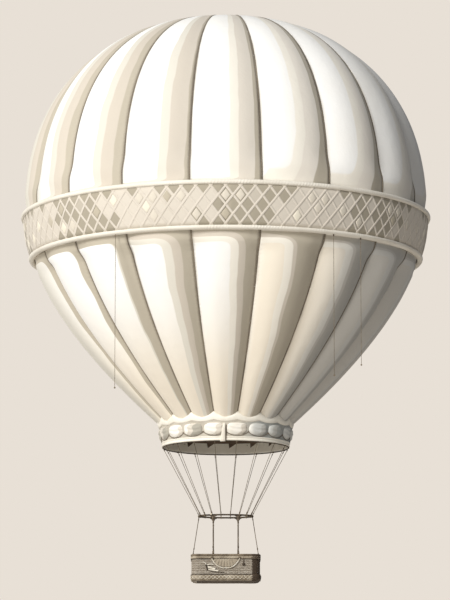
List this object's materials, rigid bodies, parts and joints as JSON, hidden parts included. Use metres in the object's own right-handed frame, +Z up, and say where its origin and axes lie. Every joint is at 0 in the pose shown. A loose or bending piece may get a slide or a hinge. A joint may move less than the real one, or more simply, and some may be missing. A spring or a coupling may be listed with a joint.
{
  "type": "hot air balloon",
  "caption": "Classic hot air balloon: lobed cream envelope with a lattice belt, skirt, suspension lines, load ring and a wicker basket with a rope swag.",
  "frame": {"origin": "on the balloon's vertical axis, in the plane of the envelope's widest ring, at the mount air", "axes": "+Z up along the balloon's axis, -Y towards the side that the picture shows, +X to the right of that side"},
  "size_m": [15.1948, 15.1948, 20.9657],
  "materials": {
    "envelope_cloth": "cream cotton-like cloth, matt",
    "vent_cloth": "cream cloth, matt",
    "trim_cloth": "rolled cream cloth, matt",
    "belt_cloth": "beige cloth with a lattice of ribbons",
    "skirt_cloth": "cream cloth with draped swags",
    "rope": "twisted rope, matt",
    "pale_rope": "twisted pale rope, matt",
    "bound_ring": "dark bent wood bound with cord",
    "upright_wood": "dark wood, satin",
    "wicker": "woven willow, matt",
    "floor_wood": "boards, matt",
    "leather": "padded leather, worn",
    "band_leather": "leather band, worn"
  },
  "bodies": {
    "root": {"gore_01": "envelope_cloth", "gore_02": "envelope_cloth", "gore_03": "envelope_cloth", "gore_04": "envelope_cloth", "gore_05": "envelope_cloth", "gore_06": "envelope_cloth", "gore_07": "envelope_cloth", "gore_08": "envelope_cloth", "gore_09": "envelope_cloth", "gore_10": "envelope_cloth", "gore_11": "envelope_cloth", "gore_12": "envelope_cloth", "gore_13": "envelope_cloth", "gore_14": "envelope_cloth", "gore_15": "envelope_cloth", "gore_16": "envelope_cloth", "gore_17": "envelope_cloth", "gore_18": "envelope_cloth", "crown_ring": "trim_cloth", "belt": "belt_cloth", "belt_roll_upper": "trim_cloth", "belt_roll_lower": "trim_cloth", "skirt": "skirt_cloth", "suspension_lines": "rope", "load_ring": "bound_ring", "upright_front_left": "upright_wood", "upright_front_right": "upright_wood", "upright_rear_left": "upright_wood", "upright_rear_right": "upright_wood", "upright_end_left": "upright_wood", "upright_end_right": "upright_wood", "basket_walls": "wicker", "basket_floor": "floor_wood", "basket_rim": "leather", "basket_rim_band": "leather", "basket_lower_band": "band_leather", "swag_rope": "pale_rope", "drop_line_left": "rope", "drop_line_right": "rope", "drop_line_far_right": "rope", "drop_knot_left": "rope", "drop_knot_right": "rope", "drop_knot_far_right": "rope"},
    "crown_vent": {"crown_vent_panel": "vent_cloth"}
  },
  "joints": [
    {"name": "crown_vent_slide", "type": "slide", "parent": "root", "child": "crown_vent", "axis": [0, 0, -1], "range_m": [0, 0.9], "stiffness_N_per_m": 60, "springref_m": -0.9}
  ]
}
